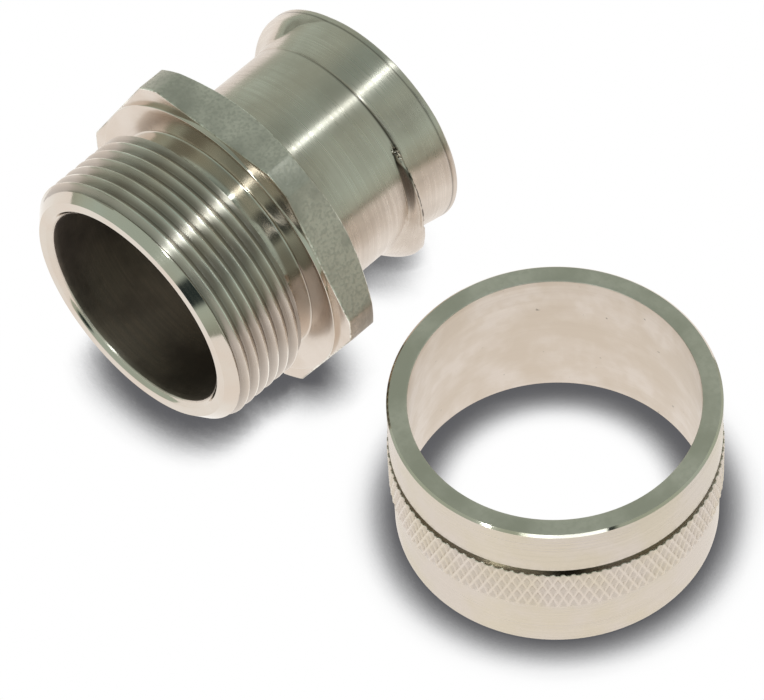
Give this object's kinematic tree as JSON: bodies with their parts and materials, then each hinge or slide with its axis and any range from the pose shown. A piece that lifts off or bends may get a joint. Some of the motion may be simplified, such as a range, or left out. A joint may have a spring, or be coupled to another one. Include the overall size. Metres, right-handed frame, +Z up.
{
  "type": "cable gland",
  "caption": "Nickel-plated conduit gland: externally threaded hexagon body with a ribbed spigot, and a separate knurled clamp ring that slides over the spigot.",
  "frame": {"origin": "centre of the two pieces' footprint, on the ground they lie on", "axes": "+Z up and along the standing ring's axis, +X along the gland body's axis from thread end to spigot end, +Y from the ring toward the gland body"},
  "size_m": [0.0398, 0.0816, 0.036],
  "materials": {
    "body_nickel": "nickel plated, bright turned, satin hexagon flats",
    "ring_nickel": "nickel plated, satin turned, diamond knurl"
  },
  "bodies": {
    "body": {"gland_body": "body_nickel"},
    "ring": {"clamp_ring": "ring_nickel"}
  },
  "joints": [
    {"name": "ring_slide", "type": "slide", "parent": "body", "child": "ring", "axis": [0, 0, 1], "range_m": [0, 0.0185]}
  ]
}
